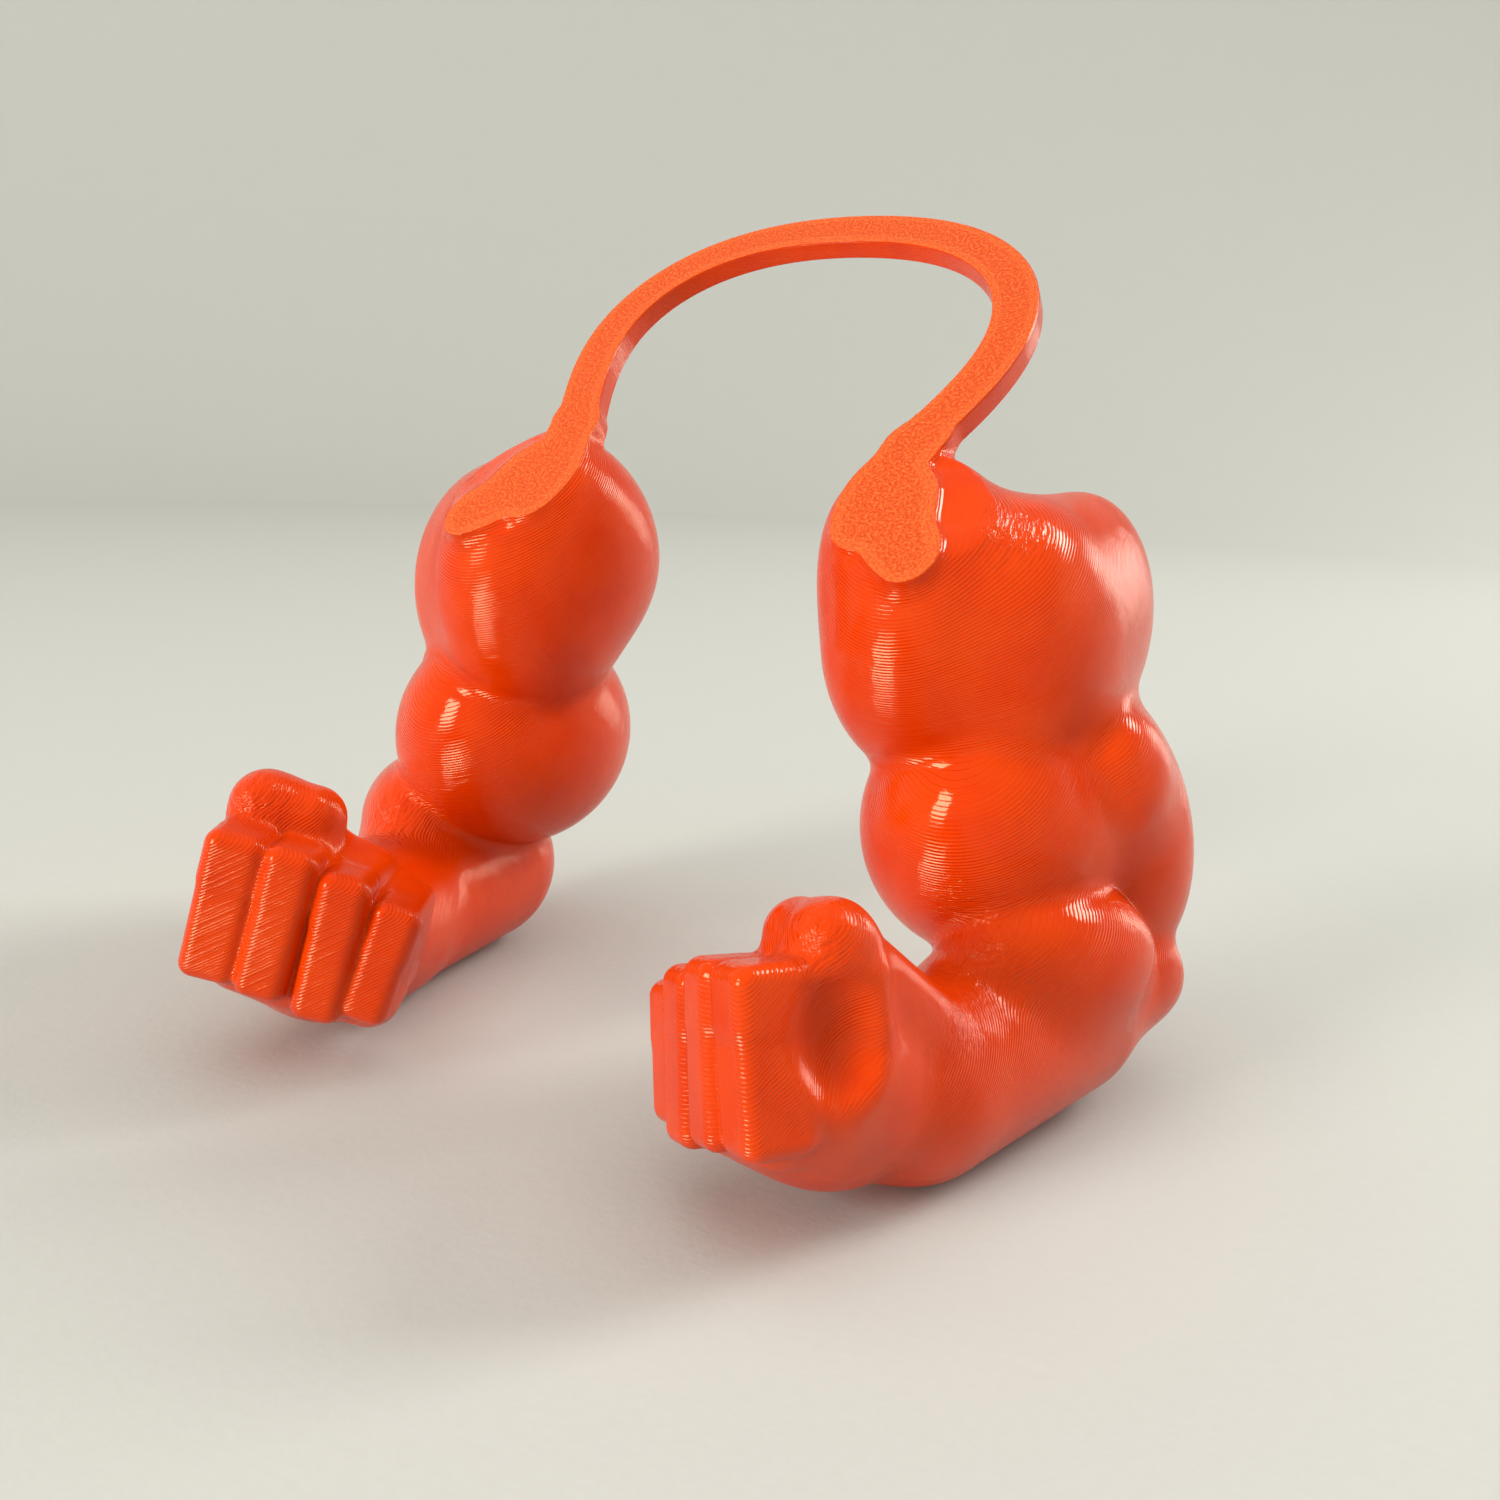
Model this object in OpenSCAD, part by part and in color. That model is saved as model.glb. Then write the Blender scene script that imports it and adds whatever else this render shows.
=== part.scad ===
// Springy clip-on toy arms: a flat C-shaped band that carries a muscular bent
// arm with a clenched fist on each end. The band and both shoulder pads share
// one flat face, the face the part is laid on when it is made.
// Directions: X is the wearer's left, Y is to the back, Z is up.

/* [Band] */
// Width of the band, measured across its flat face
band_w = 6; // [5:0.5:7]
// Thickness of the band, measured through the flat face
band_t = 3; // [2.5:0.25:4]
// Mean radius of the C-shaped band
band_r = 30; // [29:0.5:31]
// Lean of the flat face from the forearms, about X
lean = 36.87; // [35:0.01:39]

/* [Flex] */
// Place of each bending point, as an angle from the top of the band
flex_angle = 50; // [45:1:60]
// Running gap round each bending point
flex_gap = 0.1; // [0.05:0.05:0.2]

/* [Arms] */
// Size of the muscles about their own centres
muscle = 1; // [0.96:0.01:1.03]
// Thickness of a finger, as a share of the designed one
finger = 1; // [0.9:0.02:1.05]
// Depth of the flat shoulder pad
pad_t = 4; // [3:0.5:6]

/* [Hidden] */
print_orange = [1.0, 0.31, 0.06];
big = 320;
// pitch that lets both forearms lie along the surface they rest on
settle = 4.2;
// row origin: middle of the underside of the whole object's box
shift = [0, 22.93, 90.54];

// ---- small geometry helpers
function unit(v) = v / norm(v);
function basis(n) = let (z = unit(n), x = unit(cross(abs(z[2]) < 0.9 ? [0, 0, 1] : [1, 0, 0], z))) [x, cross(z, x), z];
module place(b, c) {
  multmatrix([[b[0][0], b[1][0], b[2][0], c[0]],
              [b[0][1], b[1][1], b[2][1], c[1]],
              [b[0][2], b[1][2], b[2][2], c[2]],
              [0, 0, 0, 1]]) children();
}
// everything on the far side of a plane: the points p with p*n >= off
module beyond(n, off) {
  place(basis(n), unit(n) * off) translate([-big / 2, -big / 2, 0]) cube([big, big, big]);
}
module ellipsoid(c, r, b = [[1, 0, 0], [0, 1, 0], [0, 0, 1]]) {
  place(b, c) scale(r * muscle) sphere(r = 1, $fn = 28);
}
module ball(c, r) { translate(c) sphere(r = r, $fn = 20); }
// a link of even or changing thickness between two points
module link(a, b, ra, rb) { hull() { ball(a, ra); ball(b, rb); } }

// ---- the band, drawn flat and then leaned back
function band_radius(t) = band_r - 4.94 * cos(t) + 0.78 * cos(2 * t) - 1.99 * cos(3 * t) + 0.39 * cos(4 * t);
function band_mid(t) = band_radius(t) * [sin(t), cos(t)];
function band_side(t) = let (d = band_mid(t + 0.5) - band_mid(t - 0.5), u = d / norm(d)) [-u[1], u[0]];
function band_edge(a, b, n, k) = [for (i = [0:n]) let (t = a + (b - a) * i / n) band_mid(t) + k * band_side(t)];
function strip(a, b, n) = concat(band_edge(a, b, n, band_w / 2), band_edge(b, a, n, -band_w / 2));
flex_point = band_mid(flex_angle);
module leaned() { rotate([lean, 0, 0]) children(); }
module flat(depth) { leaned() translate([0, 0, -depth]) linear_extrude(height = depth) children(); }
pad_line = -17;
module band_end_2d() {
  intersection() {
    polygon(strip(flex_angle, 127, 30));
    translate([0, pad_line]) square([80, 80]);
  }
}
module pad_2d() {
  polygon([[21.9, pad_line], [20.9, -19.5], [20, -22.5], [19.6, -26], [19.7, -30], [20.5, -34], [22.3, -35.8],
           [25.2, -36], [28, -39], [31, -40.6], [33.8, -39.3], [34.9, -36.5], [34.2, -33], [32, -29.6],
           [30.8, -26], [29, -22], [28.4, -20], [29.3, pad_line]]);
}
module band_bridge_shape() {
  flat(band_t) difference() {
    polygon(strip(-flex_angle, flex_angle, 44));
    for (s = [-1, 1]) translate([s * flex_point[0], flex_point[1]]) circle(r = band_w / 2 + flex_gap, $fn = 64);
  }
}
module band_end_shape() {
  flat(band_t) band_end_2d();
  leaned() translate([flex_point[0], flex_point[1], -band_t]) cylinder(r = band_w / 2, h = band_t, $fn = 64);
}

// ---- planes that follow the creases between the muscles
bed_n = [0, -0.6, 0.8];
crease_shoulder = [0.233, -0.119, -0.965];
crease_shoulder_at = 54;
crease_upper = [0.685, 0.708, -0.175];
crease_upper_at = 38.3;
crease_elbow = [0.212, -0.332, -0.919];
crease_elbow_at = 78.5;
wrist_n = [-0.54, -0.83, 0.12];
wrist_at = unit(wrist_n) * [38, -44, -76];
gap_n = [-0.82, 0.48, -0.31];
gap_at = [-39.9, -33.5, -27.2];

// ---- finger joints: knuckle by the thumb, root by the palm, and fold
knuckle = [[34.9, -67.1, -57.2], [29.9, -64.2, -59], [25.2, -60.9, -62.7], [20.4, -58.3, -66.8]];
root = [[37.4, -69.6, -68.8], [32.3, -67.2, -70.8], [27.2, -63.7, -73.9], [22.4, -60.9, -74.6]];
fold = [[40.1, -59.8, -58.5], [35.1, -56.9, -60.4], [30.3, -53.6, -64], [25.6, -51.1, -68.2]];
thick = [4, 4.1, 4, 3.7];
thumb_root = [41.5, -47, -68];
thumb_bend = [39.8, -59, -54.3];
thumb_tip = [32.5, -58.2, -56.3];

module shoulder_shape() {
  difference() {
    intersection() {
      union() {
        hull() {
          ellipsoid([27.3, -13.4, -31.5], [13.8, 12.6, 19.4]);
          ellipsoid([37.7, -8.6, -34.3], [14.2, 20.1, 18.8]);
          ellipsoid([28.5, -18.5, -27.5], [9, 10, 12.5]);
        }
        flat(pad_t) pad_2d();
      }
      beyond(-bed_n, 0);
      beyond(-crease_shoulder, -crease_shoulder_at);
    }
    band_end_shape();
  }
}
module biceps_shape() {
  intersection() {
    hull() ellipsoid([38.2, -14.1, -55.9], [16.7, 18.4, 16.5]);
    beyond(crease_shoulder, crease_shoulder_at);
    beyond(-crease_upper, -crease_upper_at);
    beyond(-crease_elbow, -crease_elbow_at);
  }
}
module triceps_shape() {
  intersection() {
    hull() {
      ellipsoid([46.8, -3.2, -57.9], [11.4, 11.4, 19.4], basis([0.25, 0.05, -1]));
      ellipsoid([51.7, -5.7, -76], [8, 7.5, 7.5]);
    }
    beyond(crease_shoulder, crease_shoulder_at);
    beyond(crease_upper, crease_upper_at);
    beyond(-crease_elbow, -crease_elbow_at);
  }
}
module forearm_shape() {
  intersection() {
    hull() {
      ball([45.4, -16, -77.3], 12.3 * muscle);
      ball([41.2, -43.5, -77.4], 10.2 * muscle);
      ellipsoid([51.7, -5.7, -76], [8, 7.5, 7.5]);
      ellipsoid([47.8, -22, -73.4], [13, 13, 7.7]);
    }
    beyond(crease_elbow, crease_elbow_at);
    beyond(-wrist_n, -wrist_at);
  }
}
module hand_core() {
  hull() {
    ball([39, -43, -75.9], 9.8 * muscle);
    ball([36, -53.9, -73.4], 10.6 * muscle);
    ball([36, -56, -68], 9 * muscle);
  }
  // palm block under the folded fingers
  hull() for (a = [-7.5, 7.5], b = [-2.5, 2.5], c = [-2, 2])
    ball([33.2, -59, -67.7] + a * [-0.741, 0.456, -0.494] + b * [-0.553, -0.831, 0.064] + c * [0.381, -0.32, -0.867], 4 * muscle);
}
module thumb_form() {
  link(thumb_root, thumb_bend, 5 * finger, 4.4 * finger);
  link(thumb_bend, thumb_tip, 4.4 * finger, 4 * finger);
}
module finger_form(i) {
  link(knuckle[i], root[i], thick[i] * finger, thick[i] * finger);
  link(knuckle[i], fold[i], thick[i] * finger, thick[i] * finger * 0.95);
}
module hand_shape() {
  difference() {
    intersection() {
      hand_core();
      beyond(wrist_n, wrist_at);
    }
    thumb_form();
    for (i = [0:3]) finger_form(i);
  }
}
module finger_shape(i) {
  intersection() {
    finger_form(i);
    if (i > 0) beyond(gap_n, gap_at[i - 1]);
    if (i < 3) beyond(-gap_n, -gap_at[i]);
  }
}
module thumb_shape() {
  difference() {
    intersection() {
      thumb_form();
      beyond(wrist_n, wrist_at);
    }
    for (i = [0:2]) finger_form(i);
  }
}

// ---- one module per piece
module on_left() { color(print_orange) translate(shift) rotate([settle, 0, 0]) children(); }
module on_right() { color(print_orange) translate(shift) rotate([settle, 0, 0]) mirror([1, 0, 0]) children(); }
module band_bridge() { on_left() band_bridge_shape(); }
module band_left() { on_left() band_end_shape(); }
module left_shoulder() { on_left() shoulder_shape(); }
module left_biceps() { on_left() biceps_shape(); }
module left_triceps() { on_left() triceps_shape(); }
module left_forearm() { on_left() forearm_shape(); }
module left_hand() { on_left() hand_shape(); }
module left_thumb() { on_left() thumb_shape(); }
module left_index_finger() { on_left() finger_shape(0); }
module left_middle_finger() { on_left() finger_shape(1); }
module left_ring_finger() { on_left() finger_shape(2); }
module left_little_finger() { on_left() finger_shape(3); }
module band_right() { on_right() band_end_shape(); }
module right_shoulder() { on_right() shoulder_shape(); }
module right_biceps() { on_right() biceps_shape(); }
module right_triceps() { on_right() triceps_shape(); }
module right_forearm() { on_right() forearm_shape(); }
module right_hand() { on_right() hand_shape(); }
module right_thumb() { on_right() thumb_shape(); }
module right_index_finger() { on_right() finger_shape(0); }
module right_middle_finger() { on_right() finger_shape(1); }
module right_ring_finger() { on_right() finger_shape(2); }
module right_little_finger() { on_right() finger_shape(3); }

band_bridge();
band_left();
left_shoulder();
left_biceps();
left_triceps();
left_forearm();
left_hand();
left_thumb();
left_index_finger();
left_middle_finger();
left_ring_finger();
left_little_finger();
band_right();
right_shoulder();
right_biceps();
right_triceps();
right_forearm();
right_hand();
right_thumb();
right_index_finger();
right_middle_finger();
right_ring_finger();
right_little_finger();
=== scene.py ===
import math

import bmesh
import bpy
import numpy as np
from mathutils import Matrix, Vector


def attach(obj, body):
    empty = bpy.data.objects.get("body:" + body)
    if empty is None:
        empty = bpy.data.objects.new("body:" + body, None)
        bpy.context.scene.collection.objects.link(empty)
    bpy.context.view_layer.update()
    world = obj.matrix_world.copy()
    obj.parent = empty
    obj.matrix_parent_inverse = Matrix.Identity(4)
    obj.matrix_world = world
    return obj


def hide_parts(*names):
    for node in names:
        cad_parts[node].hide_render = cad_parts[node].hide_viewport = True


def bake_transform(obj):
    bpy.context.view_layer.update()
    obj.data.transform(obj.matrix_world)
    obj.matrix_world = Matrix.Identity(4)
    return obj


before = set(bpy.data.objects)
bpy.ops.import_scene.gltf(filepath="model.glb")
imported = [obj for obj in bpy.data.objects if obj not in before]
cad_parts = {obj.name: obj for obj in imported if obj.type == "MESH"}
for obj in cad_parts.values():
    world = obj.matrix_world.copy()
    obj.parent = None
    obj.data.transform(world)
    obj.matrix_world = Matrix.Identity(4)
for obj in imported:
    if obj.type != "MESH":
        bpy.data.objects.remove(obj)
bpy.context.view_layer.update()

# ---------------------------------------------------------------- frames
# "leaned" millimetres are the frame the shapes are drawn in; the flat face of the band is the
# plane through its origin with normal N. "row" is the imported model's own frame.
def rx(a):
    c, s = math.cos(a), math.sin(a)
    return np.array([[1, 0, 0], [0, c, -s], [0, s, c]])


FLAT_TO_LEANED = rx(math.radians(36.87))
LEANED_TO_ROW = rx(math.radians(4.2))
SHIFT = np.array([0.0, 22.93, 90.54])
N = FLAT_TO_LEANED @ np.array([0.0, 0.0, 1.0])
N_ROW = LEANED_TO_ROW @ N


def to_row(p):
    return (np.asarray(p, float) @ LEANED_TO_ROW.T + SHIFT) * 0.001


def dir_row(v):
    return np.asarray(v, float) @ LEANED_TO_ROW.T


def unit(v):
    v = np.asarray(v, float)
    return v / np.linalg.norm(v)


# ---------------------------------------------------------------- distance fields, in millimetres
def axes(long, up=(0, 0, 1)):
    a = unit(long)
    c = np.asarray(up, float)
    c = unit(c - a * (c @ a))
    return np.array([a, np.cross(c, a), c])


def ell(P, c, r, F=None):
    p = P - np.asarray(c, float)
    if F is not None:
        p = p @ F.T
    r = np.asarray(r, float)
    k0 = np.sqrt(((p / r) ** 2).sum(-1))
    k1 = np.sqrt(((p / (r * r)) ** 2).sum(-1))
    return k0 * (k0 - 1.0) / np.maximum(k1, 1e-9)


def cone(P, a, b, ra, rb):
    a = np.asarray(a, float)
    b = np.asarray(b, float)
    ba = b - a
    l2 = ba @ ba
    rr = ra - rb
    a2 = l2 - rr * rr
    il2 = 1 / l2
    pa = P - a
    y = pa @ ba
    z = y - l2
    x2 = ((pa * l2 - ba * y[..., None]) ** 2).sum(-1)
    y2 = y * y * l2
    z2 = z * z * l2
    k = np.sign(rr) * rr * rr * x2
    return np.where(
        np.sign(z) * a2 * z2 > k,
        np.sqrt(x2 + z2) * il2 - rb,
        np.where(
            np.sign(y) * a2 * y2 < k,
            np.sqrt(x2 + y2) * il2 - ra,
            (np.sqrt(x2 * a2 * il2) + y * rr) * il2 - ra,
        ),
    )


def ball(P, c, r):
    return np.sqrt(((P - np.asarray(c, float)) ** 2).sum(-1)) - r


def rbox(P, c, h, rad, F=None):
    p = P - np.asarray(c, float)
    if F is not None:
        p = p @ F.T
    q = np.abs(p) - (np.asarray(h, float) - rad)
    return np.sqrt((np.maximum(q, 0) ** 2).sum(-1)) + np.minimum(q.max(-1), 0) - rad


def smin(a, b, k):
    h = np.maximum(k - np.abs(a - b), 0) / k
    return np.minimum(a, b) - h * h * k * 0.25


def smax(a, b, k):
    return -smin(-a, -b, k)


# ---------------------------------------------------------------- the band, drawn flat
BAND_W, BAND_T = 6.0, 3.0


def band_radius(t):
    return 30 - 4.94 * np.cos(t) + 0.78 * np.cos(2 * t) - 1.99 * np.cos(3 * t) + 0.39 * np.cos(4 * t)


def band_mid(t):
    r = band_radius(t)
    return np.stack([r * np.sin(t), r * np.cos(t)], -1)


def band_side(t):
    d = band_mid(t + 0.004) - band_mid(t - 0.004)
    d /= np.linalg.norm(d, axis=-1)[..., None]
    return np.stack([-d[..., 1], d[..., 0]], -1)


BAND_T0, BAND_CUT_Y = math.radians(12), -13.0
_end = band_mid(np.radians(np.linspace(96, 127, 63)))


def polyline_distance(q, pts, closed=False):
    """Distance in the plane to a chain of points, and the side of a closed one."""
    best = np.full(len(q), 1e18)
    inside = np.zeros(len(q), bool)
    n = len(pts)
    for i in range(n if closed else n - 1):
        a, b = pts[i], pts[(i + 1) % n]
        ab = b - a
        t = np.clip(((q - a) @ ab) / (ab @ ab), 0, 1)
        d = q - a - t[:, None] * ab
        best = np.minimum(best, (d * d).sum(-1))
        if closed:
            c = (a[1] > q[:, 1]) != (b[1] > q[:, 1])
            with np.errstate(divide="ignore", invalid="ignore"):
                xi = a[0] + (q[:, 1] - a[1]) * (b[0] - a[0]) / (b[1] - a[1])
            inside ^= c & (q[:, 0] < xi)
    d = np.sqrt(best)
    return np.where(inside, -d, d) if closed else d


def chaikin(p, times):
    p = np.asarray(p, float)
    for _ in range(times):
        q = np.roll(p, -1, 0)
        p = np.stack([0.75 * p + 0.25 * q, 0.25 * p + 0.75 * q], 1).reshape(-1, 2)
    return p


PAD = chaikin(
    [
        [22.4, -15.2], [21.4, -18.4], [20.6, -21.6], [19.8, -24.6], [19.6, -28.0], [20.0, -31.6],
        [20.9, -34.6], [22.8, -36.0], [25.6, -35.9], [27.6, -38.4], [30.8, -40.8], [33.8, -39.6],
        [35.0, -36.4], [33.8, -33.2], [31.8, -30.6], [31.0, -27.2], [30.0, -24.4], [27.4, -21.6],
        [28.0, -19.6], [29.2, -17.4], [28.2, -14.6],
    ],
    2,
)


def flat_outline(pl):
    """Signed distance in the plane to the outline of the flat face: the band's end and the pad."""
    q = pl[:, :2]
    d_pad = polyline_distance(q, PAD, closed=True)
    d_band = polyline_distance(q, _end) - BAND_W / 2
    return smin(d_pad, d_band, 1.6)


# ---------------------------------------------------------------- the arm, as blended muscles
D3F = FLAT_TO_LEANED.T
TRF = axes((0.25, 0.05, -1), (1, 0, 0))[[1, 2, 0]]
BRF = axes((-0.54, -0.81, 0.06))
GF = unit((0.19, -0.2, -0.96))
RF = unit((-0.743, 0.457, -0.495))
KNUCKLE = dict(i=(34.9, -67.1, -57.2), m=(29.9, -64.2, -59.0), r=(25.2, -60.9, -62.7), l=(21.0, -57.3, -66.8))
ROOT = dict(i=(37.4, -69.6, -68.8), m=(32.3, -67.2, -70.8), r=(27.2, -63.7, -73.9), l=(23.0, -59.9, -74.6))
FOLD = dict(i=(40.1, -59.8, -58.5), m=(35.1, -56.9, -60.4), r=(30.3, -53.6, -64.0), l=(26.2, -50.1, -68.2))
THICK = dict(i=4.0, m=4.1, r=4.0, l=3.7)
PALM = np.array([[-0.553, -0.831, 0.064], [-0.741, 0.456, -0.494], [0.381, -0.32, -0.867]])


HOLLOW = axes((-0.553, -0.831, 0.064), (0.807, -0.516, 0.285))  # along the fist's depth, up it, and out of its side


def muscles(P):
    front = ell(P, (30.0, -17.4, -33.0), (13.2, 15.2, 17.6))
    under_pad = ell(P, (27.0, -14.6, -27.2), (12.2, 13.0, 16.8), D3F)
    lateral = ell(P, (37.9, -11.3, -35.0), (13.3, 16.6, 18.4))
    back = ell(P, (40.6, 1.2, -32.8), (9.3, 11.5, 15.2))
    bi = ell(P, (37.5, -14.2, -55.9), (16.0, 18.4, 16.5))
    tr = ell(P, (46.8, -3.2, -57.9), (11.3, 11.5, 19.4), TRF)
    tr2 = ell(P, (48.6, -9.2, -51.2), (8.6, 8.6, 11.0))
    elb = ell(P, (51.7, -5.7, -76), (8.1, 7.6, 7.3))
    fa = cone(P, (45.4, -16, -77.3), (41.2, -43.5, -77.4), 12.3, 10.2)
    br = ell(P, (48.2, -22.5, -69.2), (14.0, 9.2, 10.0), BRF)
    wr = cone(P, (39, -43, -75.9), (36, -53.9, -73.4), 9.7, 10.8)
    ht = ball(P, (36, -56, -68), 9)
    sh = smin(smin(smin(front, under_pad, 3), lateral, 3), back, 6)
    fo = smin(smin(smin(smin(fa, elb, 5), br, 3), wr, 4), ht, 4)
    up = smin(bi, smin(tr, tr2, 2.5), 2.0)
    return smin(smin(sh, up, 2.5), fo, 2.0)


FR = unit((-0.553, -0.831, 0.064))  # out of the front of the fist
LAT = unit((-0.807, 0.516, -0.285))  # from the index finger to the little one
WIDE = dict(i=(-0.5, 3.5), m=(0, 3.05), r=(0, 3.05), l=(0.0, 3.0))  # shift and half width of a finger

LOW = dict(i=1.1, m=1.2, r=0.9, l=0.9)  # how far each folded finger sits below its knuckle's line


def fist(P):
    d = None
    for k in "imrl":
        a, b, c = (np.array(t[k]) for t in (KNUCKLE, ROOT, FOLD))
        shift, half = WIDE[k]
        g = unit(b - a)
        f1 = unit(FR - g * (FR @ g))
        l1 = np.cross(g, f1)
        l1 = l1 if l1 @ LAT > 0 else -l1
        front = rbox(P, (a + b) / 2 + LAT * shift + g * LOW[k] / 2, (half, 3.9, np.linalg.norm(b - a) / 2 + 3.7 - LOW[k] / 2), 1.75, np.array([l1, f1, g]))
        h = unit(c - a)
        u1 = unit(-g - h * (-g @ h))
        top = rbox(P, (a + c) / 2 + LAT * shift - u1 * (0.2 + LOW[k]), (half, 3.7, np.linalg.norm(c - a) / 2 + 3.6), 1.6, np.array([np.cross(h, u1), u1, h]))
        f = smin(front, top, 0.7)
        d = f if d is None else smin(d, f, 0.8)
    palm = rbox(P, (33.5, -59.3, -67.6), (6.5, 12.2, 6), 3.5, PALM)
    roots = cone(P, (37.2, -67.4, -71.2), (24.2, -59.4, -76.6), 4.0, 3.6)
    edge = rbox(P, (24.6, -54.6, -73.0), (4.0, 2.6, 4.6), 2.0, np.array([FR, LAT, GF]))
    heel = ell(P, (36.6, -60.6, -71.4), (7.4, 10.0, 7.0), PALM)
    return smin(smin(smin(smin(d, roots, 1.2), palm, 2.6), edge, 2.0), heel, 3.0)


def thumb(P):
    a, b, c = (41.5, -47, -68), (38.9, -59.6, -54.6), (34.0, -56.8, -55.9)
    return smin(cone(P, a, b, 5.2, 3.8), cone(P, b, c, 3.9, 3.9), 3.0)


def arm_field(P):
    d = smin(muscles(P), fist(P), 4.5)
    d = smin(d, thumb(P), 2.4)
    d = smax(d, -ell(P, (43.3, -65.3, -61.5), (4.2, 5.2, 2.9), HOLLOW), 2.8)
    pl = P @ FLAT_TO_LEANED  # rows are flat-frame coordinates
    near = (pl[:, 2] > -9) & (pl[:, 1] > -52)
    if near.any():
        q = pl[near]
        out = flat_outline(q)
        depth = -q[:, 2]
        body = smax(d[near], (out - 1.0 * depth - 1.1 * depth * depth) * 0.6, 1.0)
        r = 0.4
        a = out + r
        b = -(q[:, 2] + BAND_T) + r
        slab = np.sqrt(np.maximum(a, 0) ** 2 + np.maximum(b, 0) ** 2) + np.minimum(np.maximum(a, b), 0) - r
        body = smin(body, slab, 1.4)
        d[near] = smax(body, q[:, 2], 0.3)
    return d


def gradient(f, P, e=0.08):
    k = np.array([[1, -1, -1], [-1, -1, 1], [-1, 1, -1], [1, 1, 1]], float)
    g = np.zeros_like(P)
    for s in k:
        g += s * f(P + e * s)[:, None]
    return g / (4 * e)


def in_chunks(f, P, size=200000):
    return np.concatenate([f(P[i : i + size]) for i in range(0, len(P), size)])


def sample(f, lo, hi, h, B=8):
    """The field on a grid, worked out only in the blocks that the surface may cross."""
    lo = np.asarray(lo, float)
    nb = np.ceil((np.asarray(hi, float) - lo) / h / B).astype(int) + 1
    grid = np.stack(np.meshgrid(*[np.arange(n) for n in nb], indexing="ij"), -1).reshape(-1, 3)
    centre = lo + (grid * B + (B - 1) / 2) * h
    d = in_chunks(f, centre)
    F = np.empty(tuple(nb) + (B, B, B), np.float32)
    F[...] = np.where(d < 0, -9.0, 9.0).reshape(tuple(nb))[..., None, None, None]
    near = np.abs(d) < B * h * 0.87 * 1.5 + 0.6
    off = np.stack(np.meshgrid(*[np.arange(B)] * 3, indexing="ij"), -1).reshape(-1, 3) * h
    todo = grid[near]
    for i in range(0, len(todo), 400):
        g = todo[i : i + 400]
        P = (lo + g[:, None, :] * B * h + off[None]).reshape(-1, 3)
        F[g[:, 0], g[:, 1], g[:, 2]] = f(P).reshape(len(g), B, B, B)
    return F.transpose(0, 3, 1, 4, 2, 5).reshape(nb * B), lo


def surface_nets(F, lo, h):
    S = F < 0
    corners = [(i, j, k) for i in (0, 1) for j in (0, 1) for k in (0, 1)]
    nx, ny, nz = F.shape
    count = np.zeros((nx - 1, ny - 1, nz - 1), np.uint8)
    for i, j, k in corners:
        count += S[i : nx - 1 + i, j : ny - 1 + j, k : nz - 1 + k]
    active = (count > 0) & (count < 8)
    idx = np.argwhere(active)
    ids = np.full(active.shape, -1, np.int64)
    ids[active] = np.arange(len(idx))
    acc = np.zeros((len(idx), 3))
    w = np.zeros(len(idx))
    for a in corners:
        for ax in range(3):
            if a[ax]:
                continue
            b = list(a)
            b[ax] = 1
            fa = F[tuple((idx + a).T)]
            fb = F[tuple((idx + b).T)]
            m = (fa < 0) != (fb < 0)
            t = np.where(m, fa / np.where(m, fa - fb, 1), 0)
            p = np.asarray(a, float) + t[:, None] * (np.asarray(b) - np.asarray(a))
            acc += p * m[:, None]
            w += m
    V = lo + h * (idx + acc / w[:, None])
    quads = []
    for ax in range(3):
        u, v = (ax + 1) % 3, (ax + 2) % 3
        s0 = S[tuple(slice(0, -1) if a == ax else slice(1, -1) for a in range(3))]
        s1 = S[tuple(slice(1, None) if a == ax else slice(1, -1) for a in range(3))]
        e = np.argwhere(s0 != s1)
        base = e.copy()
        base[:, u] += 1
        base[:, v] += 1
        ring = []
        for du, dv in ((-1, -1), (0, -1), (0, 0), (-1, 0)):
            c = base.copy()
            c[:, u] += du
            c[:, v] += dv
            ring.append(ids[tuple(c.T)])
        q = np.stack(ring, 1)
        out = s0[tuple(e.T)]
        quads.append(np.where(out[:, None], q, q[:, ::-1]))
    return V, np.concatenate(quads)


def settle_mesh(f, V, Q, rounds=2):
    """Slides the vertices level with each other, and puts them exactly on the surface."""
    def project(V, times):
        for _ in range(times):
            d = in_chunks(f, V)
            g = in_chunks(lambda p: gradient(f, p), V)
            n2 = np.maximum((g * g).sum(-1), 0.15)
            V = V - np.clip(d, -0.3, 0.3)[:, None] * g / n2[:, None]
        return V, g

    V, g = project(V, 2)
    edges = np.concatenate([Q[:, [0, 1]], Q[:, [1, 2]], Q[:, [2, 3]], Q[:, [3, 0]]])
    for _ in range(rounds):
        acc = np.zeros_like(V)
        num = np.zeros(len(V))
        for a, b in ((0, 1), (1, 0)):
            for c in range(3):
                acc[:, c] += np.bincount(edges[:, a], V[edges[:, b], c], len(V))
            num += np.bincount(edges[:, a], minlength=len(V))
        m = acc / np.maximum(num, 1)[:, None] - V
        n = g / np.linalg.norm(g, axis=1)[:, None]
        m -= n * (m * n).sum(-1)[:, None]
        V, g = project(V + 0.5 * m, 1)
    return V


STEP = 0.36
F, lo = sample(arm_field, (8, -78, -92), (64, 15, 2), STEP)
arm_V, arm_Q = surface_nets(F, lo, STEP)
del F
arm_V = settle_mesh(arm_field, arm_V, arm_Q)
print("arm mesh", len(arm_V), "vertices")


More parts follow.
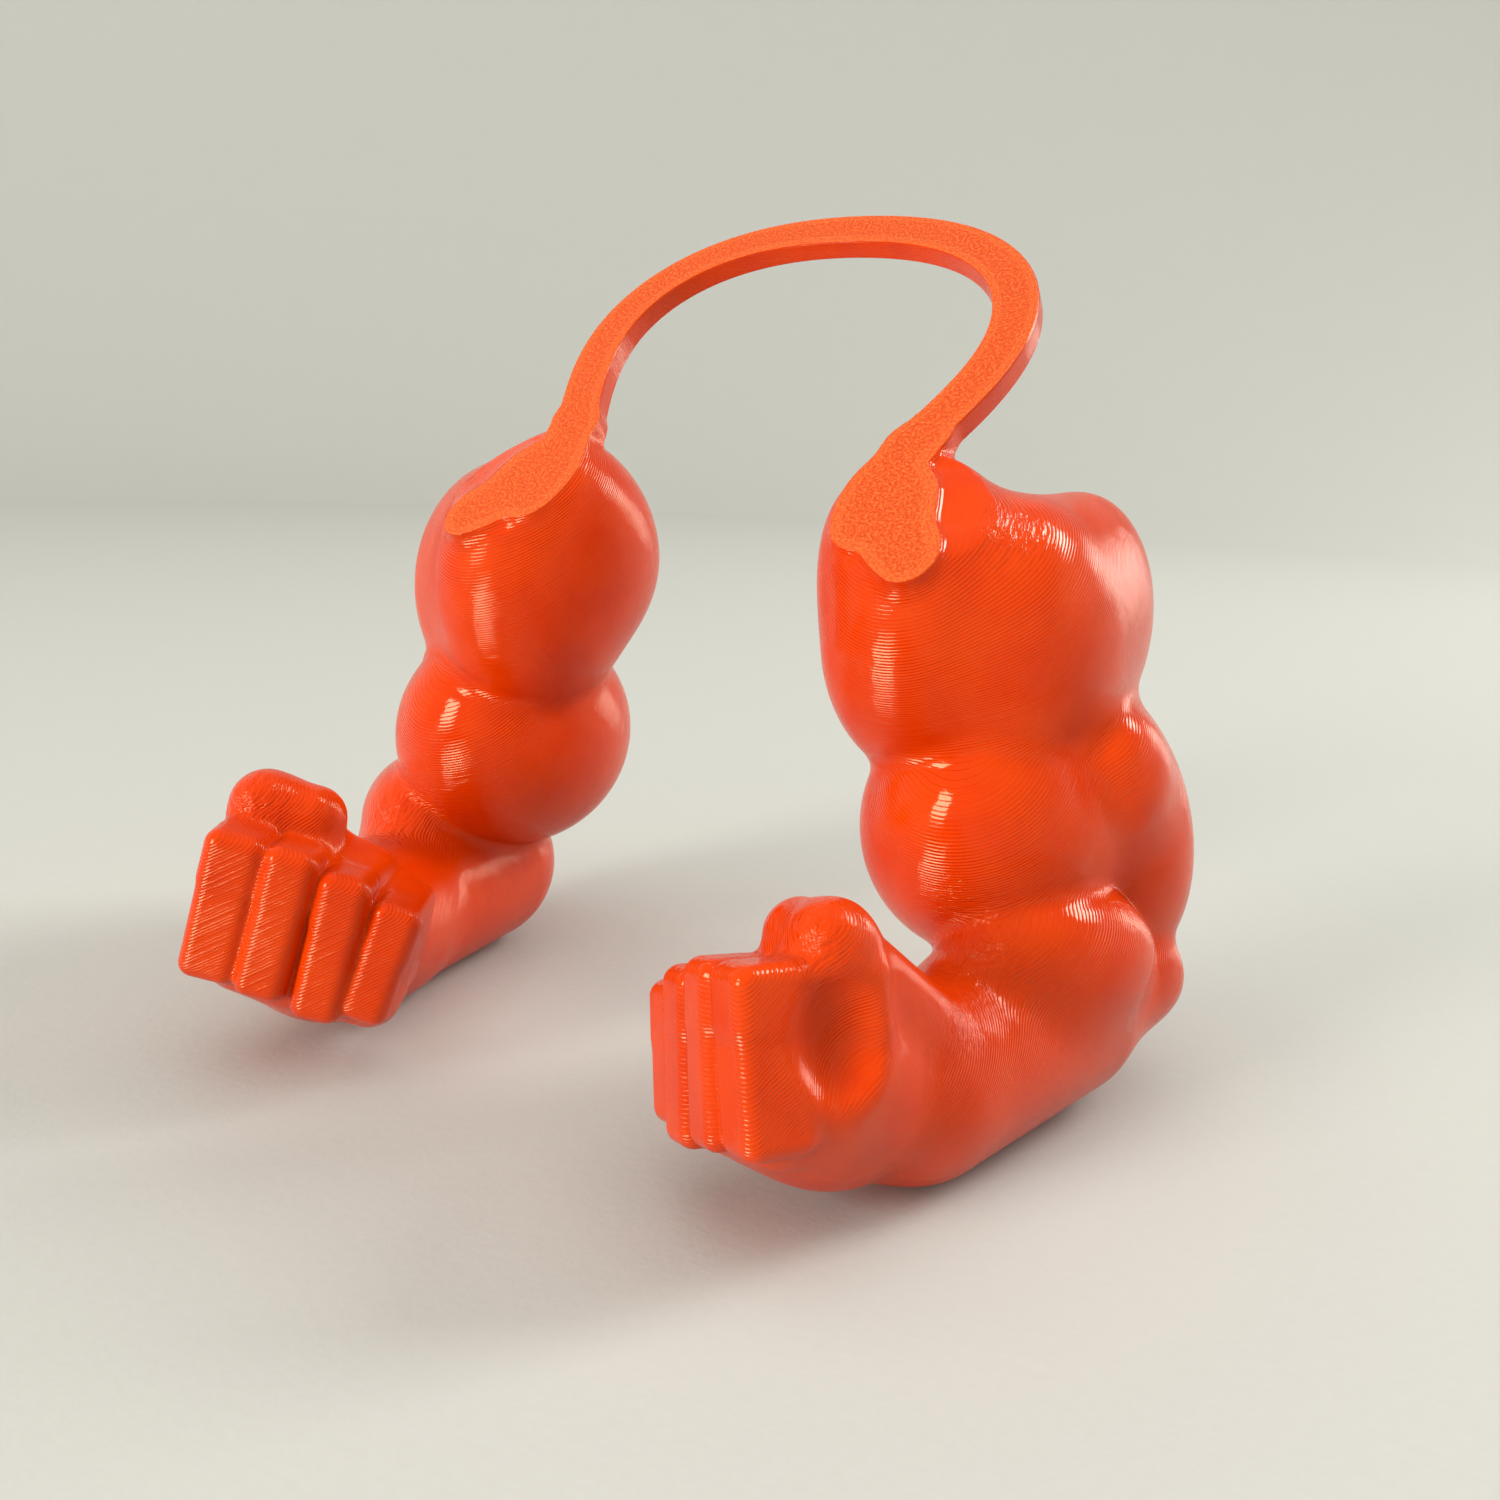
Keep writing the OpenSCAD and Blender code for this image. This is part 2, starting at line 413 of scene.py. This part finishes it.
# ---------------------------------------------------------------- cutting the arm into its pieces
def plane(n, off):
    n = np.asarray(n, float)
    l = np.linalg.norm(n)
    return n / l, off / l


CUT_BAND = (FLAT_TO_LEANED @ np.array([0, 1.0, 0]), BAND_CUT_Y)
CUT_WRIST = plane((-0.54, -0.83, 0.12), float(unit((-0.54, -0.83, 0.12)) @ np.array([38, -44, -76])) * np.linalg.norm((-0.54, -0.83, 0.12)))
CUT_ELBOW = plane((0.212, -0.332, -0.919), 78.5)
CUT_SHOULDER = plane((0.233, -0.119, -0.965), 54.0)
CUT_UPPER = plane((0.685, 0.708, -0.175), 38.3)
CUT_FINGERS = plane((-0.663, -0.538, 0.521), -25.7)
CUT_THUMB_H = plane((-0.491, -0.241, -0.837), 45.4)
CUT_THUMB_F = plane((-0.133, -0.509, -0.85), 74.0)
GAPS = [plane((-0.82, 0.48, -0.31), o) for o in (-39.9, -33.5, -27.2)]


def bm_from(V, Q):
    me = bpy.data.meshes.new("work")
    me.vertices.add(len(V))
    me.vertices.foreach_set("co", V.ravel())
    me.loops.add(Q.size)
    me.loops.foreach_set("vertex_index", Q.ravel())
    me.polygons.add(len(Q))
    me.polygons.foreach_set("loop_start", np.arange(0, Q.size, 4))
    me.polygons.foreach_set("loop_total", np.full(len(Q), 4))
    me.update()
    bm = bmesh.new()
    bm.from_mesh(me)
    bpy.data.meshes.remove(me)
    bm.faces.layers.int.new("cap")
    return bm


def cut(bm, cutter):
    """The halves of a closed mesh on the low and the high side of a plane, each closed again."""
    n, off = cutter
    halves = []
    for high in (False, True):
        part = bm.copy()
        done = bmesh.ops.bisect_plane(
            part, geom=part.verts[:] + part.edges[:] + part.faces[:], dist=1e-5,
            plane_co=Vector(n * off), plane_no=Vector(n), clear_outer=not high, clear_inner=high,
        )
        edges = [e for e in done["geom_cut"] if isinstance(e, bmesh.types.BMEdge) and e.is_boundary]
        if edges:
            made = bmesh.ops.holes_fill(part, edges=edges, sides=0)["faces"]
            layer = part.faces.layers.int["cap"]
            for face in made:
                face[layer] = 1
        halves.append(part)
    return halves


whole = bm_from(arm_V, arm_Q)
work, band_stub = cut(whole, CUT_BAND)
rest_, hand_ = cut(work, CUT_WRIST)
upper_, forearm_ = cut(rest_, CUT_ELBOW)
shoulder_, upper2_ = cut(upper_, CUT_SHOULDER)
biceps_, triceps_ = cut(upper2_, CUT_UPPER)
palm_, fingers_ = cut(hand_, CUT_FINGERS)
thumb_a, palm_ = cut(palm_, CUT_THUMB_H)
thumb_b, fingers_ = cut(fingers_, CUT_THUMB_F)
index_, more_ = cut(fingers_, GAPS[0])
middle_, more_ = cut(more_, GAPS[1])
ring_, little_ = cut(more_, GAPS[2])


def arrays(*parts):
    """Vertices, faces and cap flags of one or more bmeshes together."""
    V, faces, caps, base = [], [], [], 0
    for bm in parts:
        bm.verts.index_update()
        V.append(np.array([v.co[:] for v in bm.verts], float).reshape(-1, 3))
        layer = bm.faces.layers.int["cap"]
        for f in bm.faces:
            faces.append([v.index + base for v in f.verts])
            caps.append(f[layer] == 1)
        base += len(bm.verts)
    return np.concatenate(V), faces, np.array(caps, bool)


PIECES = {
    "shoulder": arrays(shoulder_), "biceps": arrays(biceps_), "triceps": arrays(triceps_),
    "forearm": arrays(forearm_), "hand": arrays(palm_), "thumb": arrays(thumb_a, thumb_b),
    "index_finger": arrays(index_), "middle_finger": arrays(middle_),
    "ring_finger": arrays(ring_), "little_finger": arrays(little_),
}
stub = arrays(band_stub)


def newell(p):
    q = np.roll(p, -1, 0)
    return unit(np.cross(p, q).sum(0) + 1e-12)


def loop_normals(V, faces, caps, vertex_normal):
    rows = []
    for f, cap in zip(faces, caps):
        if cap:
            n = newell(V[f])
            rows.extend([n] * len(f))
        else:
            rows.extend(vertex_normal[f])
    return np.array(rows, float)


def skin_normals(V):
    g = in_chunks(lambda p: gradient(arm_field, p, 0.12), V)
    return g / np.maximum(np.linalg.norm(g, axis=1), 1e-6)[:, None]


def rim_of(V):
    """How far inside the outline of the flat face a point of it is, in millimetres."""
    pl = V @ FLAT_TO_LEANED
    r = np.zeros(len(V))
    m = pl[:, 2] > -1.0
    if m.any():
        r[m] = -flat_outline(pl[m])
    return r


SNAGS = [  # where threads were drawn across steep overhangs: centre, reach
    ((43.5, -35.0, -64.6), 7.5), ((39.5, -20.5, -19.2), 5.0), ((38.0, -62.5, -53.2), 5.0), ((46.5, -45.5, -68.0), 3.5),
]


def messy_of(V):
    m = np.zeros(len(V))
    for c, r in SNAGS:
        d = np.sqrt(((V - np.asarray(c)) ** 2).sum(-1)) / r
        m = np.maximum(m, np.clip(1.35 - d, 0, 1))
    return m


def make_object(name, V, faces, normals, attributes, flip=False):
    """A smooth mesh with its own normals, in the row frame; flip makes the other side's."""
    if flip:
        V = V * (-1, 1, 1)
        normals = normals * (-1, 1, 1)
        starts = np.cumsum([0] + [len(f) for f in faces])
        order = np.concatenate([np.arange(b - 1, a - 1, -1) for a, b in zip(starts[:-1], starts[1:])])
        faces = [f[::-1] for f in faces]
        normals = normals[order]
    me = bpy.data.meshes.new(name)
    me.from_pydata(to_row(V).tolist(), [], faces)
    me.polygons.foreach_set("use_smooth", np.ones(len(me.polygons), bool))
    for key, values in attributes.items():
        at = me.attributes.new(key, "FLOAT", "POINT")
        at.data.foreach_set("value", np.asarray(values, np.float32))
    me.update()
    me.normals_split_custom_set(dir_row(normals).tolist())
    o = bpy.data.objects.new(name, me)
    bpy.context.scene.collection.objects.link(o)
    return o


# ---------------------------------------------------------------- the band's own mesh
def band_strip(t0, t1, turns, cut_y=None):
    """A strip with softened edges along the band's line; the last ring lies in the plane y = cut_y."""
    r = 0.4
    half, deep = BAND_W / 2, BAND_T
    section, normal = [], []

    def arc(cx, cz, a0):
        for k in range(5):
            a = a0 + math.radians(22.5 * k)
            section.append((cx + r * math.cos(a), cz + r * math.sin(a)))
            normal.append((math.cos(a), math.sin(a)))

    def side(p, q, n, m):
        for k in range(1, m):
            s = k / m
            section.append((p[0] + (q[0] - p[0]) * s, p[1] + (q[1] - p[1]) * s))
            normal.append(n)

    # the flat face keeps a fairly crisp edge: every corner, its own too, is rounded by the same small radius r
    corner = [(half - r, -r, 0.0), (-(half - r), -r, math.pi / 2), (-(half - r), -deep + r, math.pi), (half - r, -deep + r, -math.pi / 2)]
    outward = [((half - r, 0), (-(half - r), 0), (0, 1), 12), ((-half, -r), (-half, -deep + r), (-1, 0), 6),
               ((-(half - r), -deep), (half - r, -deep), (0, -1), 12), ((half, -deep + r), (half, -r), (1, 0), 6)]
    for (cx, cz, a0), (p, q, n, m) in zip(corner, outward):
        arc(cx, cz, a0)
        side(p, q, n, m)
    section, normal = np.array(section), np.array(normal)
    m = len(section)
    k = section[:, 0]
    ends = np.full(m, float(t1))
    if cut_y is not None:
        # each line along the strip runs up to where it meets the cutting plane
        lo_t, hi_t = ends - 0.25, ends + 0.25
        for _ in range(40):
            c = 0.5 * (lo_t + hi_t)
            above = (band_mid(c) + k[:, None] * band_side(c))[:, 1] > cut_y
            lo_t, hi_t = np.where(above, c, lo_t), np.where(above, hi_t, c)
        ends = 0.5 * (lo_t + hi_t)
    V, VN, rim = [], [], []
    for i in range(turns + 1):
        t = t0 + (ends - t0) * (i / turns)
        across = band_side(t)
        V.append(np.column_stack([band_mid(t) + k[:, None] * across, section[:, 1]]))
        VN.append(np.column_stack([normal[:, :1] * across, normal[:, 1]]))
        rim.append(half - np.abs(k))
    V, VN, rim = np.concatenate(V), np.concatenate(VN), np.concatenate(rim)
    faces = []
    for i in range(turns):
        for j in range(m):
            k = (j + 1) % m
            faces.append([i * m + j, (i + 1) * m + j, (i + 1) * m + k, i * m + k])
    caps = [False] * len(faces)
    faces.append(list(range(m)))
    faces.append(list(range(turns * m + m - 1, turns * m - 1, -1)))
    caps += [True, True]
    # orientation: the flat face has to look along +z
    f = faces[len(section) // 8]
    c = V[f]
    if np.cross(c[1] - c[0], c[2] - c[1])[2] * VN[f[0]][2] < 0:
        faces = [g[::-1] for g in faces]
    return V @ FLAT_TO_LEANED.T, faces, np.array(caps), VN @ FLAT_TO_LEANED.T, rim


def band_end_t(y):
    a, b = math.radians(70), math.radians(130)
    for _ in range(50):
        c = 0.5 * (a + b)
        if band_mid(np.array(c))[1] > y:
            a = c
        else:
            b = c
    return 0.5 * (a + b)


BAND_T1 = band_end_t(BAND_CUT_Y)

# ---------------------------------------------------------------- materials
class Nodes:
    """Small helper to write node trees as sums."""

    def __init__(self, mat):
        mat.use_nodes = True
        self.t = mat.node_tree
        self.t.nodes.clear()

    def node(self, kind, **props):
        n = self.t.nodes.new(kind)
        for k, v in props.items():
            setattr(n, k, v)
        return n

    def link(self, a, b):
        self.t.links.new(a, b)

    def put(self, socket, value):
        if isinstance(value, bpy.types.NodeSocket):
            self.link(value, socket)
        else:
            socket.default_value = value

    def m(self, op, a, b=None, c=None, clamp=False):
        n = self.node("ShaderNodeMath", operation=op, use_clamp=clamp)
        for s, v in zip(n.inputs, (a, b, c)):
            if v is not None:
                self.put(s, v)
        return n.outputs[0]

    def v(self, op, a, b=None, out=0):
        n = self.node("ShaderNodeVectorMath", operation=op)
        self.put(n.inputs[0], a)
        if b is not None:
            self.put(n.inputs[1], b)
        return n.outputs[out]

    def dot(self, a, b):
        return self.v("DOT_PRODUCT", a, b, 1)

    def smooth(self, x, lo, hi, to_lo=0.0, to_hi=1.0):
        n = self.node("ShaderNodeMapRange", interpolation_type="SMOOTHSTEP")
        self.put(n.inputs["Value"], x)
        n.inputs["From Min"].default_value = lo
        n.inputs["From Max"].default_value = hi
        n.inputs["To Min"].default_value = to_lo
        n.inputs["To Max"].default_value = to_hi
        return n.outputs[0]

    def noise(self, vector, scale, detail=2.0, rough=0.5):
        n = self.node("ShaderNodeTexNoise")
        self.put(n.inputs["Vector"], vector)
        n.inputs["Scale"].default_value = scale
        n.inputs["Detail"].default_value = detail
        n.inputs["Roughness"].default_value = rough
        return n.outputs["Fac"]

    def mix(self, f, a, b):
        n = self.node("ShaderNodeMix", data_type="RGBA")
        self.put(n.inputs["Factor"], f)
        self.put(n.inputs["A"], a)
        self.put(n.inputs["B"], b)
        return n.outputs["Result"]

    def mixf(self, f, a, b):
        n = self.node("ShaderNodeMix", data_type="FLOAT")
        self.put(n.inputs["Factor"], f)
        self.put(n.inputs["A"], a)
        self.put(n.inputs["B"], b)
        return n.outputs["Result"]


LAYER = 0.28  # printed layer, mm


def printed_plastic(name):
    """Glossy printed plastic: layer steps and beads along N, a grainy flat face where z = 0."""
    mat = bpy.data.materials.new(name)
    T = Nodes(mat)
    out = T.node("ShaderNodeOutputMaterial")
    bsdf = T.node("ShaderNodeBsdfPrincipled")
    T.link(bsdf.outputs[0], out.inputs["Surface"])
    co = T.node("ShaderNodeTexCoord")
    # millimetres, with z along the printing direction and x, y in the flat face
    p = T.v("SCALE", co.outputs["Object"])
    p.node.inputs["Scale"].default_value = 1000.0
    p = T.v("SUBTRACT", p, tuple(SHIFT))
    FR = LEANED_TO_ROW @ FLAT_TO_LEANED
    z = T.dot(p, tuple(FR[:, 2]))
    x = T.dot(p, tuple(FR[:, 0]))
    y = T.dot(p, tuple(FR[:, 1]))
    comb = T.node("ShaderNodeCombineXYZ")
    T.put(comb.inputs[0], x)
    T.put(comb.inputs[1], y)
    T.put(comb.inputs[2], z)
    flat = comb.outputs[0]
    c = T.dot(co.outputs["Normal"], tuple(FR[:, 2]))
    ac = T.m("ABSOLUTE", c)
    c2 = T.m("MULTIPLY", c, c)
    # how level the surface is with the layers decides between beads and steps
    lay = T.m("DIVIDE", z, LAYER)
    k = T.m("FLOOR", lay)
    u = T.m("FRACT", lay)
    # one random number for each layer, and one drifting along it
    rnd = T.node("ShaderNodeTexWhiteNoise", noise_dimensions="1D")
    T.put(rnd.inputs["W"], k)
    layer_seed = rnd.outputs["Value"]
    lv = T.node("ShaderNodeCombineXYZ")
    T.put(lv.inputs[0], T.m("MULTIPLY", x, 0.16))
    T.put(lv.inputs[1], T.m("MULTIPLY", y, 0.16))
    T.put(lv.inputs[2], T.m("MULTIPLY", k, 7.31))
    drift = T.noise(lv.outputs[0], 1.0, 2.0)
    bead_shape = T.m("SUBTRACT", 1.0, T.m("POWER", T.m("ABSOLUTE", T.m("MULTIPLY_ADD", u, 2.0, -1.0)), 2.0))
    wall = T.m("SUBTRACT", 1.0, ac)
    bead = T.m("MULTIPLY", bead_shape, T.m("MULTIPLY_ADD", layer_seed, 0.018, 0.028))
    shift_out = T.m("MULTIPLY", T.m("SUBTRACT", drift, 0.5), 0.030)
    jitter = T.m("MULTIPLY", T.m("SUBTRACT", layer_seed, 0.5), 0.010)
    side = T.m("MULTIPLY", T.m("ADD", T.m("ADD", bead, shift_out), jitter), T.smooth(ac, 0.97, 0.75))
    # steps: a flat tread for a share c*c of each layer, then a steep riser
    peak = T.m("MINIMUM", T.m("MAXIMUM", c2, 0.06), 0.94)
    up = T.m("DIVIDE", u, peak)
    down = T.m("DIVIDE", T.m("SUBTRACT", 1.0, u), T.m("SUBTRACT", 1.0, peak))
    tri = T.m("MINIMUM", up, down)
    step = T.m("MULTIPLY", tri, T.m("MULTIPLY", ac, LAYER * 0.20))
    height = T.m("ADD", side, step)
    # threads and droops on the steep overhangs
    messy = T.node("ShaderNodeAttribute", attribute_name="messy").outputs["Fac"]
    mv = T.node("ShaderNodeCombineXYZ")
    T.put(mv.inputs[0], T.m("MULTIPLY", x, 0.9))
    T.put(mv.inputs[1], T.m("MULTIPLY", y, 0.35))
    T.put(mv.inputs[2], T.m("MULTIPLY", z, 2.2))
    strands = T.noise(mv.outputs[0], 1.1, 3.0, 0.6)
    height = T.m("ADD", height, T.m("MULTIPLY", T.m("MULTIPLY", T.m("SUBTRACT", strands, 0.5), messy), 0.55))
    # broad, shallow unevenness
    broad = T.noise(flat, 0.35, 2.0)
    height = T.m("ADD", height, T.m("MULTIPLY", T.m("SUBTRACT", broad, 0.5), 0.10))
    # ---- the flat face: pressed grain, and the first layer's outline beads
    face = T.smooth(z, -0.16, -0.05)
    rim = T.node("ShaderNodeAttribute", attribute_name="rim").outputs["Fac"]
    line = T.m("ABSOLUTE", T.m("SINE", T.m("MULTIPLY", rim, math.pi / 0.45)))
    line = T.m("POWER", line, 0.5)
    rim_on = T.smooth(rim, 1.5, 1.1)
    grain = T.noise(flat, 2.6, 3.0, 0.7)
    vor = T.node("ShaderNodeTexVoronoi", feature="F1")
    T.put(vor.inputs["Vector"], flat)
    vor.inputs["Scale"].default_value = 3.2
    pits = T.m("MULTIPLY", vor.outputs["Distance"], 0.05)
    fh = T.m("ADD", T.m("MULTIPLY", T.m("SUBTRACT", grain, 0.5), 0.24), pits)
    fh = T.m("ADD", fh, T.m("MULTIPLY", T.m("MULTIPLY", line, rim_on), 0.035))
    height = T.mixf(face, height, fh)
    bump = T.node("ShaderNodeBump")
    bump.inputs["Strength"].default_value = 1.0
    bump.inputs["Distance"].default_value = 0.001
    T.put(bump.inputs["Height"], height)
    T.link(bump.outputs[0], bsdf.inputs["Normal"])
    # ---- colour: orange, with painted shade a little deeper in the grooves between layers, and paler on the grain
    tone = T.noise(flat, 0.12, 3.0)
    base = T.mix(T.smooth(tone, 0.3, 0.7), (0.64, 0.034, 0.0002, 1), (0.70, 0.046, 0.0003, 1))
    # painted shade: the orange darkens towards the groove between two layer beads, most on the steeper walls
    painted_groove_shade = T.m("MULTIPLY", T.m("SUBTRACT", 1.0, bead_shape), T.smooth(ac, 0.95, 0.6, 0.0, 0.22))
    base = T.mix(painted_groove_shade, base, (0.50, 0.014, 0.0002, 1))
    base = T.mix(T.m("MULTIPLY", layer_seed, 0.10), base, (0.72, 0.060, 0.0010, 1))
    paler = T.mix(T.smooth(grain, 0.44, 0.62), (0.64, 0.045, 0.001, 1), (0.78, 0.150, 0.022, 1))
    paler = T.mix(T.m("MULTIPLY", T.m("MULTIPLY", line, rim_on), 0.35), paler, (0.80, 0.16, 0.03, 1))
    base = T.mix(face, base, paler)
    T.link(base, bsdf.inputs["Base Color"])
    rough = T.m("ADD", T.m("MULTIPLY", drift, 0.06), 0.06)
    rough_face = T.m("ADD", T.m("MULTIPLY", grain, 0.20), 0.30)
    T.link(T.mixf(face, rough, rough_face), bsdf.inputs["Roughness"])
    bsdf.inputs["IOR"].default_value = 1.44
    bsdf.inputs["Specular Tint"].default_value = (1.0, 0.78, 0.46, 1)
    return mat


arm_print = printed_plastic("arm_print")
band_print = printed_plastic("band_print")

# ---------------------------------------------------------------- put the pieces together
for part, (V, faces, caps) in PIECES.items():
    vn = skin_normals(V)
    ln = loop_normals(V, faces, caps, vn)
    marks = {"rim": rim_of(V), "messy": messy_of(V)}
    for side in ("left", "right"):
        o = make_object(f"skin_{side}_{part}", V, faces, ln, marks, flip=side == "right")
        o.data.materials.append(arm_print)
        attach(o, f"{side}_arm")
        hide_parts(f"{side}_{part}")

sV, sF, sC = stub
s_vn = skin_normals(sV)
s_ln = loop_normals(sV, sF, sC, s_vn)
# what lies just under the strip's own faces is drawn in a little, so that the two never coincide
_pl = sV @ FLAT_TO_LEANED
_under = (polyline_distance(_pl[:, :2], _end) - BAND_W / 2 < 0.04) & (_pl[:, 2] > -BAND_T - 0.04)
sV = sV - s_vn * (0.07 * _under)[:, None]
s_rim = rim_of(sV)
bV, bF, bC, bN, b_rim = band_strip(BAND_T0, BAND_T1, 130, BAND_CUT_Y)
b_ln = loop_normals(bV, bF, bC, bN)
V = np.concatenate([bV, sV])
faces = [list(f) for f in bF] + [[i + len(bV) for i in f] for f in sF]
ln = np.concatenate([b_ln, s_ln])
rim = np.concatenate([b_rim, s_rim])


for side, sign in (("left", 1), ("right", -1)):
    o = make_object(f"skin_band_{side}", V, faces, ln, {"rim": rim, "messy": np.zeros(len(V))}, flip=sign < 0)
    o.data.materials.append(band_print)
    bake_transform(o)
    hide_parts(f"band_{side}")
cV, cF, cC, cN, c_rim = band_strip(-BAND_T0, BAND_T0, 36)
o = make_object("skin_band_bridge", cV, cF, loop_normals(cV, cF, cC, cN), {"rim": c_rim, "messy": np.zeros(len(cV))})
o.data.materials.append(band_print)
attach(o, "band")
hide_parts("band_bridge")

# ---------------------------------------------------------------- floor
def pale_floor():
    mat = bpy.data.materials.new("floor_pale")
    T = Nodes(mat)
    out = T.node("ShaderNodeOutputMaterial")
    bsdf = T.node("ShaderNodeBsdfPrincipled")
    T.link(bsdf.outputs[0], out.inputs["Surface"])
    co = T.node("ShaderNodeTexCoord")
    n = T.noise(co.outputs["Object"], 700.0, 3.0, 0.6)
    base = T.mix(n, (0.49, 0.49, 0.445, 1), (0.52, 0.52, 0.475, 1))
    T.link(base, bsdf.inputs["Base Color"])
    bsdf.inputs["Roughness"].default_value = 0.62
    bsdf.inputs["Specular IOR Level"].default_value = 0.3
    bump = T.node("ShaderNodeBump")
    bump.inputs["Strength"].default_value = 0.25
    bump.inputs["Distance"].default_value = 0.0002
    T.put(bump.inputs["Height"], n)
    T.link(bump.outputs[0], bsdf.inputs["Normal"])
    return mat


def sweep():
    """A plain floor that curves up behind and at the far sides, like a studio cove; the side towards the camera stays
    open.
    """
    bm = bmesh.new()
    rings = [(0.0, 0.0)] + [(0.9, 0.0)]
    for a in range(0, 91, 10):
        rings.append((0.9 + 0.6 * math.sin(math.radians(a)), 0.6 * (1 - math.cos(math.radians(a)))))
    rings.append((1.5, 1.6))
    n = 96
    grid = []
    for r, z in rings:
        if r == 0:
            grid.append([bm.verts.new((0, 0, z))] * n)
        else:
            grid.append([bm.verts.new((r * math.cos(2 * math.pi * i / n), r * math.sin(2 * math.pi * i / n), z)) for i in range(n)])
    for a, b in zip(grid[:-1], grid[1:]):
        for i in range(n):
            j = (i + 1) % n
            ring = [a[i], b[i], b[j], a[j]]
            middle = (b[i].co + b[j].co) / 2
            if middle.length > 0.93 and middle.dot(Vector((-0.5, 0.86, 0))) < -0.1:
                continue  # the wall rises on the far side only
            bm.faces.new(list(dict.fromkeys(ring)))
    me = bpy.data.meshes.new("studio_floor")
    bm.to_mesh(me)
    bm.free()
    me.polygons.foreach_set("use_smooth", np.ones(len(me.polygons), bool))
    o = bpy.data.objects.new("studio_floor", me)
    bpy.context.scene.collection.objects.link(o)
    o.data.materials.append(pale_floor())
    return o


sweep()

# ---------------------------------------------------------------- camera and light
scene = bpy.context.scene
cam = bpy.data.cameras.new("camera")
cam.sensor_width = 36
cam.lens = 36
cam.clip_start, cam.clip_end = 0.005, 20
cam_o = bpy.data.objects.new("camera", cam)
scene.collection.objects.link(cam_o)
right = dir_row((0.8586, 0.5126, 0.0051))
down = dir_row((0.1528, -0.2464, -0.9570))
fwd = dir_row((-0.4894, 0.8225, -0.2899))
pos = to_row((100.28, -178.41, 5.38))
m = Matrix.Identity(4)
for r in range(3):
    m[r][0], m[r][1], m[r][2], m[r][3] = right[r], -down[r], -fwd[r], pos[r]
cam_o.matrix_world = m
scene.camera = cam_o

AIM = np.array([0.0, 0.0, 0.06])


def softbox(name, direction, distance, width, height, power, colour=(1, 1, 1)):
    d = unit(dir_row(direction))
    li = bpy.data.lights.new(name, "AREA")
    li.shape = "RECTANGLE"
    li.size, li.size_y = width, height
    li.energy = power
    li.color = colour
    o = bpy.data.objects.new(name, li)
    scene.collection.objects.link(o)
    o.location = Vector(AIM + d * distance)
    o.rotation_euler = Vector(-d).to_track_quat("-Z", "Y").to_euler()
    o.visible_camera = False
    return o


def heading(azimuth, elevation):
    """A direction in the leaned frame: azimuth 0 is the front, positive towards the wearer's left."""
    az, el = math.radians(azimuth), math.radians(elevation)
    return (math.sin(az) * math.cos(el), -math.cos(az) * math.cos(el), math.sin(el))


softbox("window_front", heading(-20, 6), 1.3, 0.40, 1.35, 29, (1.0, 0.98, 0.96))
softbox("window_side", heading(142, 28), 1.3, 0.42, 0.66, 12, (0.98, 0.99, 1.0))
ceiling = softbox("ceiling", (0.1, -0.1, 1.0), 1.5, 2.0, 2.0, 17, (1.0, 0.985, 0.96))
ceiling.visible_glossy = False
world = bpy.data.worlds.new("studio")
scene.world = world
world.use_nodes = True
world.node_tree.nodes["Background"].inputs["Color"].default_value = (0.95, 0.94, 0.93, 1)
world.node_tree.nodes["Background"].inputs["Strength"].default_value = 0.45
scene.view_settings.view_transform = "Standard"
scene.view_settings.look = "None"
